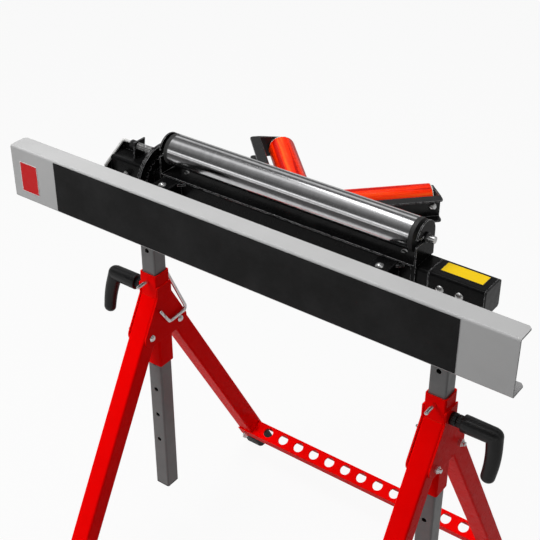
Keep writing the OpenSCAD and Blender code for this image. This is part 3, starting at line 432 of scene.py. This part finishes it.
def rolled_steel():
    """Bright roller tube: light streaks along it, fine turning marks round it, worn bands."""
    material, tree, principled, place = start_material("roller steel", Metallic=1.0)
    stretch = node(tree, "ShaderNodeMapping")
    stretch.inputs["Scale"].default_value = (1.2, 60, 60)
    tree.links.new(place, stretch.inputs["Vector"])
    streak = ramp(tree, noise(tree, stretch.outputs[0], 3.0, 5, 0.6), 0.3, 0.7)
    cloud = ramp(tree, noise(tree, place, 55, 6, 0.7), 0.36, 0.7)
    tone = math_node(tree, "ADD", math_node(tree, "MULTIPLY", streak, 0.5),
                     math_node(tree, "MULTIPLY", cloud, 0.5))
    tree.links.new(mix(tree, tone, (0.84, 0.84, 0.85, 1), (0.50, 0.50, 0.51, 1)),
                   principled.inputs["Base Color"])
    tree.links.new(math_node(tree, "MULTIPLY_ADD", tone, 0.16), principled.inputs["Roughness"])
    principled.inputs["Roughness"].links[0].from_node.inputs[2].default_value = 0.09
    turned = node(tree, "ShaderNodeMapping")
    turned.inputs["Scale"].default_value = (2600, 8, 8)
    tree.links.new(place, turned.inputs["Vector"])
    bump(tree, principled, noise(tree, turned.outputs[0], 1.0, 2, 0.5), 0.05, 0.0002, False)
    return material


def orange_with_painted_reflections(side):
    """Orange plastic: painted dark reflections and painted highlights as streaks along the
    roller's own direction, and scuffs.
    """
    material, tree, principled, place = start_material(
        "orange plastic " + ("right" if side > 0 else "left"), Specular_IOR_Level=0.12)
    turn = node(tree, "ShaderNodeMapping")
    turn.inputs["Rotation"].default_value = (0, 0, -side * V_ANGLE)
    tree.links.new(place, turn.inputs["Vector"])
    stretch = node(tree, "ShaderNodeMapping")
    stretch.inputs["Scale"].default_value = (2.5, 85, 85)
    tree.links.new(turn.outputs[0], stretch.inputs["Vector"])
    lines = noise(tree, stretch.outputs[0], 1.0, 4, 0.55)
    # Dark streaks are painted dark reflections and pale streaks are painted highlights, both along
    # the roller.
    painted_dark_lines = ramp(tree, lines, 0.51, 0.60)
    light = ramp(tree, lines, 0.47, 0.38)
    layer = use_group(tree, COAT, place, Colour=(0.93, 0.026, 0.0008, 1), Dust=0.006)
    shade = mix(tree, math_node(tree, "MULTIPLY", painted_dark_lines, 0.92), layer.outputs["Colour"],
                (0.42, 0.0012, 0.0008, 1))
    tint = mix(tree, math_node(tree, "MULTIPLY", light, 0.65), shade, (1.0, 0.12, 0.012, 1))
    tree.links.new(tint, principled.inputs["Base Color"])
    tree.links.new(math_node(tree, "ADD", layer.outputs["Roughness"], 0.20),
                   principled.inputs["Roughness"])
    bump(tree, principled, noise(tree, place, 420, 3, 0.6), 0.05, 0.0004)
    return material


def bordered(name, inner, border, low, high, edge, rough):
    """Plain sticker or plate with a border, by Object coordinates between two corners in two
    axes: low and high are (axis, value) pairs."""
    material, tree, principled, place = start_material(name, Specular_IOR_Level=0.2)
    split = tree.nodes.new("ShaderNodeSeparateXYZ")
    tree.links.new(place, split.inputs[0])
    inside = None
    for (axis, start), (_, stop) in zip(low, high):
        left = math_node(tree, "GREATER_THAN", split.outputs[axis], start + edge)
        right = math_node(tree, "LESS_THAN", split.outputs[axis], stop - edge)
        both = math_node(tree, "MULTIPLY", left, right)
        inside = both if inside is None else math_node(tree, "MULTIPLY", inside, both)
    flat = mix(tree, inside, (*border, 1), (*inner, 1))
    grime = ramp(tree, noise(tree, place, 140, 6, 0.7), 0.5, 0.8)
    tree.links.new(mix(tree, math_node(tree, "MULTIPLY", grime, 0.12), flat, (0.2, 0.19, 0.17, 1)),
                   principled.inputs["Base Color"])
    tree.links.new(math_node(tree, "MULTIPLY_ADD", grime, 0.15), principled.inputs["Roughness"])
    principled.inputs["Roughness"].links[0].from_node.inputs[2].default_value = rough
    bump(tree, principled, noise(tree, place, 500, 2), 0.04, 0.0003)
    return material


def grip_material():
    """Fine grained strip: close sand-like grain with paler rubbed patches."""
    material, tree, principled, place = start_material("grip strip", Specular_IOR_Level=0.12)
    grain = noise(tree, place, 2200, 2, 0.6)
    rubbed = ramp(tree, noise(tree, place, 12, 5, 0.65), 0.4, 0.75)
    speck = ramp(tree, noise(tree, place, 1700, 2, 0.7), 0.45, 0.75)
    tone = math_node(tree, "ADD", math_node(tree, "MULTIPLY", rubbed, 0.35),
                     math_node(tree, "MULTIPLY", speck, 0.45), True)
    tree.links.new(mix(tree, tone, (0.011, 0.011, 0.011, 1), (0.030, 0.030, 0.031, 1)),
                   principled.inputs["Base Color"])
    tree.links.new(math_node(tree, "MULTIPLY_ADD", rubbed, -0.12), principled.inputs["Roughness"])
    principled.inputs["Roughness"].links[0].from_node.inputs[2].default_value = 0.72
    bump(tree, principled, grain, 0.35, 0.0005)
    return material


# Red paint's edges turn a brighter red: a painted highlight along them.
RED = painted("red paint", (0.90, 0.0006, 0.0006), 0.24, 0.004, 0.35, (0.95, 0.06, 0.03, 1),
              gloss=0.015)
GREY = painted("grey paint", (0.105, 0.105, 0.105), 0.30, 0.08, 0.7, (0.45, 0.45, 0.44, 1),
               gloss=0.8)
# The black paints' edges turn pale and metallic all along: painted highlights along their edges.
BLACK = painted("black paint", (0.0042, 0.0042, 0.0044), 0.18, 0.010, 1.0,
                (0.62, 0.62, 0.63, 1), gloss=0.09)
# The cradle channels take a glossier copy of the black paint, with a paler base and more dust; the
# paler base stands in for the light their top flanges reflect, so it is painted light.
LIT_CRADLE_BLACK = painted("satin black paint", (0.008, 0.008, 0.0085), 0.26, 0.02, 1.0,
                       (0.62, 0.62, 0.63, 1), gloss=0.4)
SILVER = painted("silver paint", (0.42, 0.42, 0.42), 0.36, 0.03, 0.35, (0.72, 0.72, 0.72, 1),
                 gloss=0.2)
# Pale paint for the bar along the index bracket's edges: a painted highlight.
HIGHLIGHT_PAINT = painted("pale edge highlight", (0.50, 0.50, 0.49), 0.34, 0.03, 0.2, (0.7, 0.7, 0.7, 1))
ZINC = plated("zinc plating", (0.88, 0.88, 0.88), (0.56, 0.56, 0.55), 0.16)
STEEL = plated("turned steel", (0.55, 0.55, 0.56), (0.36, 0.35, 0.34), 0.26)
DARK_STEEL = plated("blackened steel", (0.060, 0.060, 0.062), (0.026, 0.026, 0.027), 0.30)
ROLLER = rolled_steel()
ORANGE = {side: orange_with_painted_reflections(side) for side in (-1, 1)}
PLASTIC = moulded("black plastic", (0.0042, 0.0042, 0.0044), 0.30, 0.03, 700, 0.008, gloss=0.42)
CAP_PLASTIC = moulded("cap plastic", (0.022, 0.022, 0.022), 0.42, 0.05, 900, 0.02)
RUBBER = moulded("rubber", (0.014, 0.014, 0.014), 0.60, 0.30, 1600, 0.12, 0.1)
NYLON = moulded("nylon", (0.66, 0.64, 0.58), 0.38, 0.06, 900, 0.06)
GRIP = grip_material()
label_low, label_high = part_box("setting_label")
LABEL = bordered("yellow sticker", (0.78, 0.52, 0.001), (0.015, 0.015, 0.015),
                 ((0, label_low[0]), (1, label_low[1])), ((0, label_high[0]), (1, label_high[1])),
                 0.0016, 0.32)
badge_low, badge_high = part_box("badge_plate")
BADGE = bordered("red plate", (0.56, 0.002, 0.004), (0.74, 0.74, 0.74),
                 ((0, badge_low[0]), (2, badge_low[2])), ((0, badge_high[0]), (2, badge_high[2])),
                 0.0009, 0.30)

SLOT_MATERIALS = {
    "red": RED, "grey": GREY, "black": BLACK, "silver": SILVER, "zinc": ZINC, "steel": STEEL,
    "dark_steel": DARK_STEEL, "chrome": ROLLER, "orange": ORANGE[1], "plastic": PLASTIC,
    "rubber": RUBBER, "nylon": NYLON, "grip": GRIP, "label": LABEL, "badge": BADGE}
for part in frame["record"]["subparts"]:
    shown = frame["nodes"][part["node"]]
    shown.data.materials.clear()
    shown.data.materials.append(SLOT_MATERIALS[part["material_slot"]])
frame["nodes"]["roller_caps"].data.materials[0] = CAP_PLASTIC
frame["nodes"]["v_roller_left"].data.materials[0] = ORANGE[-1]
# The cradle channels get the paler black: painted light for what their flanges reflect.
for word in ("left", "right"):
    frame["nodes"]["v_channel_" + word].data.materials[0] = LIT_CRADLE_BLACK


# Clamp levers: a round barrel, a swept arm and a threaded screw
def lever_arm(side, out, length, lean):
    """Grid of ellipses down a leaning line that bends out along a quarter wave. The half widths
    shrink towards the tip, and both ends close along quarter circles."""
    top, tip = np.linspace(-np.pi / 2, 0, 12), np.linspace(0, np.pi / 2, 12)
    t = np.concatenate([np.zeros(11), np.linspace(0, 1, 36), np.ones(11)])
    close = np.concatenate([np.cos(top[:-1]), np.ones(36), np.cos(tip[1:])])
    past = np.concatenate([np.sin(top[:-1]) * 0.0150, np.zeros(36), np.sin(tip[1:]) * 0.0115])
    down = length * t + past
    wide = (0.0155 - 0.0026 * t) * close + 0.00005
    deep = (0.0150 - 0.0042 * t ** 0.7) * close + 0.00005
    bend = out + 0.005 * np.sin(t * np.pi / 2) + 0.0022 * np.sin(t * np.pi)
    middle = np.stack([side * bend, -down * math.sin(lean), CLAMP_Z - down * math.cos(lean)], 1)
    angle = np.linspace(0, 2 * np.pi, 44, endpoint=False)
    across = np.array([0, math.cos(lean), -math.sin(lean)])
    ring = (wide[:, None, None] * np.cos(angle)[:, None] * np.array([side, 0, 0])
            + deep[:, None, None] * np.sin(angle)[:, None] * across)
    return middle[:, None] + ring


def ribbed_ring(side, start, length, reach):
    """Ring about the clamp screw: its radius swells in even ribs round the axis and falls off
    towards both ends."""
    along = start + length * np.array([0, 0.0, 0.05, 0.13, 0.90, 0.97, 1.0])
    radius = reach - np.array([0.0062, 0.0014, 0.0004, 0, 0, 0.0006, 0.0062])
    angle = np.linspace(0, 2 * np.pi, 168, endpoint=False)
    rib = 1 - 0.075 * (np.sin(10 * angle) ** 2)
    depth = radius[:, None] * rib[None]
    return np.stack([np.broadcast_to(side * along[:, None], depth.shape),
                     depth * np.cos(angle) * side, CLAMP_Z + depth * np.sin(angle)], -1)


def clamp_lever(side, word):
    """Barrel turned from a profile with rounded shoulders, a neck, the arm and the screw."""
    near, far, r = LEVER_NEAR, LEVER_FAR, LEVER_R
    start = POST_X + 0.0171
    body = "clamp_lever_" + word
    along = np.array([side, 0.0, 0.0])
    place = np.array([0, 0, CLAMP_Z])
    profile = [(near - 0.0004, 0.0052), (near, r - 0.0012), (near + 0.0004, r - 0.0004),
               (near + 0.0014, r), (near + 0.010, r), (far - SHOULDER, r * 0.97),
               (far - 0.0085, r * 0.84), (far - 0.0040, r * 0.62), (far - 0.0018, r * 0.3),
               (far - 0.0014, 0.0005)]
    barrel = new_piece("lever_barrel_" + word,
                       lathe_points(place, along, profile, 64), PLASTIC, body,
                       caps=(True, True))
    new_piece("lever_arm_" + word, lever_arm(side, far - SHOULDER, LEVER_LEN, LEVER_LEAN),
              PLASTIC, body, caps=(True, True))
    new_piece("lever_neck_" + word, ribbed_ring(side, near - 0.0106, 0.0108, 0.0116),
              PLASTIC, body, caps=(True, True))
    new_piece("lever_screw_" + word,
              thread_points(place + along * start, along, 0.005, near - start - 0.0065,
                            0.0015, 0.0007, 32), ZINC, body, caps=(True, True))
    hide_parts("clamp_lever_" + word)


clamp_lever(-1, "left")
clamp_lever(1, "right")


new_piece("ribbed_collar_left", ribbed_ring(-1, POST_X + CHEEK_OUT, CLAMP_R, CLAMP_R), PLASTIC,
          "base", caps=(True, True))
right_collar = new_piece("ribbed_collar_right",
                         ribbed_ring(1, POST_X + CHEEK_OUT, CLAMP_R, CLAMP_R), PLASTIC,
                         "base", caps=(True, True))
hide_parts("clamp_bosses")


# Locking pins: one bent wire each, with a rounded nose
def bent_path(points, bend, steps=14):
    """Straight runs joined by round bends: each corner becomes an arc of the bend radius."""
    points = [np.array(p, float) for p in points]
    runs = [points[0][None]]
    for before, corner, after in zip(points, points[1:], points[2:]):
        u = (corner - before) / np.linalg.norm(corner - before)
        w = (after - corner) / np.linalg.norm(after - corner)
        turn = math.acos(float(u @ w))
        side = w - u * (u @ w)
        side /= np.linalg.norm(side)
        middle = corner - u * bend * math.tan(turn / 2) + side * bend
        t = np.linspace(0, turn, steps)[:, None]
        runs.append(middle - side * bend * np.cos(t) + u * bend * np.sin(t))
    runs.append(points[-1][None])
    return np.vstack(runs)


def lock_pin(side, word):
    """The pin through the sleeve and its bail, as one wire."""
    bail_x = -side * BAIL_IN
    corners = [(0, -SLEEVE_HALF - 0.031, 0), (0, SLEEVE_HALF + 0.011, 0), (bail_x, 0.057, -0.094),
               (bail_x, 0.004, -0.097), (bail_x, -0.021, -0.059)]
    path = bent_path(corners, WIRE_BEND) + np.array([side * POST_X, 0, PIN_Z])
    nose = np.array([0.0, 0.0006, 0.0015, 0.003])
    path = np.vstack([path[0] + np.array([0, 1, 0]) * nose[:, None], path[1:]])
    radius = np.full(len(path), WIRE_R)
    radius[:3] = (0.0016, 0.0024, 0.0031)
    radius[-1] = 0.0028
    pin = new_piece("pin_and_bail_" + word, tube_points(path, radius, 28), ZINC,
                    "lock_pin_" + word, caps=(True, True))
    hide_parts("lock_pin_" + word)


lock_pin(-1, "left")
lock_pin(1, "right")


# Index spring: round wire on a helix between the ear and the collar
def index_spring():
    """Helix x = start + pitch turns, closed up at both ends, swept with round wire."""
    start, stop, radius, curls = SPRING_START, SPRING_STOP, 0.0059, 8
    t = np.linspace(0, 1, curls * 32 + 1)
    closed = t + 0.022 * np.sin(2 * np.pi * t)
    angle = 2 * np.pi * curls * t
    path = np.stack([start + (stop - start) * (2 * t - closed),
                     radius * np.cos(angle), INDEX_Z + radius * np.sin(angle)], 1)
    coil = new_piece("index_spring_wire", tube_points(path, 0.0008, 12), ZINC, "mast",
                     caps=(True, True))
    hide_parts("index_spring")
    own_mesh(coil)


index_spring()


# Pale bar along the index bracket's outer edges: a painted highlight on those edges
def bracket_edge_highlight():
    """Round bar along the end plate's sloping edge, round its corner and along the back web."""
    side_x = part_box("index_bracket")[0][0] + 0.0015
    corners = [(side_x, -0.039, HEAD_Z + 0.0095), (side_x, HIGHLIGHT_Y, HIGHLIGHT_TOP),
               (HIGHLIGHT_END, HIGHLIGHT_Y, HIGHLIGHT_TOP)]
    new_piece("bracket_edge_highlight", tube_points(bent_path(corners, HIGHLIGHT_BEND), HIGHLIGHT_R, 20),
              HIGHLIGHT_PAINT, "mast", caps=(True, True))


bracket_edge_highlight()


# Threads that show beyond nuts
def thread(name, place, axis, length, body):
    """A threaded end with a small chamfer."""
    new_piece(name, thread_points(place, axis, BOLT_R, length), ZINC, body,
              caps=(True, True))


for side, word in ((-1, "left"), (1, "right")):
    for row, y in (("front", -PIVOT_Y), ("back", PIVOT_Y)):
        thread(f"pivot_thread_{row}_{word}",
               (side * (POST_X + CHEEK_OUT + NUT_OUT), y, PIVOT_Z), (side, 0, 0), THREAD_OUT,
               "base")
    for number, x in enumerate(HOUSING_BOLTS_X, 1):
        thread(f"housing_thread_{word}_{number}",
               (side * x, side * (BEAM_HALF + NUT_OUT), HEAD_Z), (0, side, 0), THREAD_OUT, "mast")


# V roller hubs: pale bushes with a raised rim in the roller's ends
def v_place(side, out, across=0.0, up=0.0):
    """Point of a V frame: out along the roller, across towards its inside, up."""
    x = out * math.cos(V_ANGLE) - across * math.sin(V_ANGLE)
    y = out * math.sin(V_ANGLE) + across * math.cos(V_ANGLE)
    return np.array([side * x, V_Y + y, HEAD_Z + V_UP + up])


for side, word in ((-1, "left"), (1, "right")):
    out_axis = v_place(side, 1) - v_place(side, 0)
    for end, (out, way) in (("inner", (V_START, -1)), ("outer", (V_START + V_LEN, 1))):
        hub = [(-0.0004, V_R - 0.0003), (0.0016, V_R - 0.0002), (0.0022, V_R - 0.0008),
               (0.0023, V_R - 0.0040), (0.0014, V_R - 0.0045), (0.0012, 0.0125),
               (0.0026, 0.0119), (0.0027, 0.0050), (0.0022, 0.0044), (-0.0004, 0.0043)]
        new_piece(f"v_hub_{word}_{end}", lathe_points(v_place(side, out), out_axis * way, hub, 64),
                  NYLON, "v_roller_" + word)


# Roller end seals: a grooved ring inside each cap's mouth
for side, word in ((-1, "left"), (1, "right")):
    seal = [(-0.006, 0.0131), (-0.0015, 0.0130), (-0.0012, 0.0122), (-0.0022, 0.0116),
            (-0.0022, 0.0104), (-0.0012, 0.0099), (-0.0012, 0.0095), (-0.006, 0.0094)]
    place = (ROLLER_SHIFT + side * ROLLER_LEN / 2, 0, HEAD_Z + ROLLER_UP)
    new_piece("roller_seal_" + word, lathe_points(place, (side, 0, 0), seal, 64), PLASTIC,
              "work_roller")


# Weld beads
def weld(name, a, b, body, material=BLACK, radius=0.0019):
    """One bead between two points."""
    new_piece(name, weld_points(a, b, radius), material, body, caps=(True, True))


for side, word in ((-1, "left"), (1, "right")):
    for k, y in enumerate((-SLEEVE_HALF, SLEEVE_HALF)):
        for row, x in (("out", CHEEK_OUT - 0.003), ("in", -CHEEK_OUT + 0.003)):
            weld(f"cheek_weld_{word}_{row}_{k}",
                 (side * (POST_X + x), y * 0.99, PIVOT_Z + 0.068),
                 (side * (POST_X + x), y * 0.99, PIVOT_Z + 0.102), "base", RED, 0.0017)
    for k, y in enumerate((-0.017, 0.017)):
        weld(f"post_weld_{word}_{k}", (side * (POST_X - 0.014), y, HEAD_Z - BEAM_HALF),
             (side * (POST_X + 0.014), y, HEAD_Z - BEAM_HALF), "mast")
for x, word in zip(SOCKETS_X, ("left", "right")):
    top = HEAD_Z + BEAM_HALF
    weld(f"socket_weld_top_{word}", (x - 0.016, -BEAM_HALF, top - 0.0004),
         (x + 0.016, -BEAM_HALF, top - 0.0004), "head")
    for k, s in enumerate((-1, 1)):
        weld(f"socket_weld_{word}_{k}", (x + s * 0.018, -BEAM_HALF, HEAD_Z - 0.008),
             (x + s * 0.018, -BEAM_HALF, HEAD_Z + 0.008), "head")
for k, x in enumerate(SADDLE_WELDS_X):
    for row, y in (("front", -BEAM_HALF), ("back", BEAM_HALF)):
        weld(f"saddle_weld_{row}_{k}", (x - 0.014, y, HEAD_Z + BEAM_HALF - 0.0006),
             (x + 0.014, y, HEAD_Z + BEAM_HALF - 0.0006), "head")

# Floor and backdrop
floor_mesh = bpy.data.meshes.new("floor")
floor_mesh.from_pydata([(-9, -9, 0), (9, -9, 0), (9, 9, 0), (-9, 9, 0)], [], [(0, 1, 2, 3)])
floor = bpy.data.objects.new("floor", floor_mesh)
scene.collection.objects.link(floor)
floor_paint = bpy.data.materials.new("pale floor")
floor_paint.use_nodes = True
floor_tree = floor_paint.node_tree
floor_surface = floor_tree.nodes["Principled BSDF"]
floor_surface.inputs["Base Color"].default_value = (0.52, 0.52, 0.52, 1)
floor_surface.inputs["Roughness"].default_value = 0.9
floor_surface.inputs["Specular IOR Level"].default_value = 0.1
glow = floor_tree.nodes.new("ShaderNodeEmission")
rays = floor_tree.nodes.new("ShaderNodeLightPath")
blend_in = floor_tree.nodes.new("ShaderNodeMixShader")
share = math_node(floor_tree, "MAXIMUM", rays.outputs["Is Camera Ray"],
                  math_node(floor_tree, "MAXIMUM", rays.outputs["Is Transmission Ray"],
                            math_node(floor_tree, "MULTIPLY", rays.outputs["Is Glossy Ray"],
                                      0.25)))
floor_tree.links.new(math_node(floor_tree, "MULTIPLY", share, 0.93), blend_in.inputs[0])
floor_tree.links.new(floor_surface.outputs[0], blend_in.inputs[1])
floor_tree.links.new(glow.outputs[0], blend_in.inputs[2])
floor_tree.links.new(blend_in.outputs[0], floor_tree.nodes["Material Output"].inputs[0])
floor_mesh.materials.append(floor_paint)

# World: an even pale room; metal sees long soft panels that run from side to side
world = bpy.data.worlds.new("studio")
scene.world = world
world.use_nodes = True
sky = world.node_tree
sky_paths = sky.nodes.new("ShaderNodeLightPath")
sky_place = sky.nodes.new("ShaderNodeTexCoord")
sky_split = sky.nodes.new("ShaderNodeSeparateXYZ")
sky.links.new(sky_place.outputs["Generated"], sky_split.inputs[0])
# Angle about the X axis, from the horizon behind the stand over the top to the one before it
turned = math_node(sky, "ARCTAN2", sky_split.outputs["Z"], sky_split.outputs["Y"])
panels = sky.nodes.new("ShaderNodeValToRGB")
panels.color_ramp.interpolation = "EASE"
bands = ((0.00, 0.80), (0.05, 0.12), (0.17, 0.12), (0.21, 0.85), (0.24, 0.60), (0.32, 0.10),
         (0.44, 0.20), (0.50, 0.80), (0.55, 0.70), (0.61, 0.34), (0.70, 0.22), (0.80, 0.10),
         (0.895, 0.08), (0.925, 1.20), (0.950, 1.10), (0.975, 0.20), (1.00, 0.6))
while len(panels.color_ramp.elements) < len(bands):
    panels.color_ramp.elements.new(0.5)
for element, (place, level) in zip(panels.color_ramp.elements, bands):
    element.position = place
    element.color = (level, level, level, 1)
sky.links.new(ramp(sky, turned, 0.0, math.pi), panels.inputs[0])
base_sky = mix(sky, sky_paths.outputs["Is Glossy Ray"], (0.20, 0.20, 0.20, 1), panels.outputs[0])
seen_sky = mix(sky, sky_paths.outputs["Is Camera Ray"], base_sky, (1, 1, 1, 1))
sky.links.new(seen_sky, sky.nodes["Background"].inputs["Color"])


def lamp(name, place, target, size, power, reflected):
    """Soft light aimed at a point; unless reflected, the world's panels stand for it in gloss."""
    data = bpy.data.lights.new(name, "AREA")
    data.shape = "RECTANGLE"
    data.size, data.size_y = size
    data.energy = power
    light = bpy.data.objects.new(name, data)
    light.visible_glossy = reflected
    way = Vector(place) - Vector(target)
    turn = way.to_track_quat("Z", "Y").to_matrix().to_4x4()
    light.matrix_world = Matrix.Translation(place) @ turn
    scene.collection.objects.link(light)


lamp("overhead", (-0.7, 0.6, 3.2), (0, 0, 0.8), (2.0, 1.6), 50, False)
lamp("strip", (-0.5, -0.32, 3.2), (0, 0, 0.8), (2.4, 0.35), 9, True)
lamp("key", (-1.5, -1.9, 2.6), (0, 0, 0.6), (1.4, 1.4), 60, False)

scene.view_settings.view_transform = "Standard"
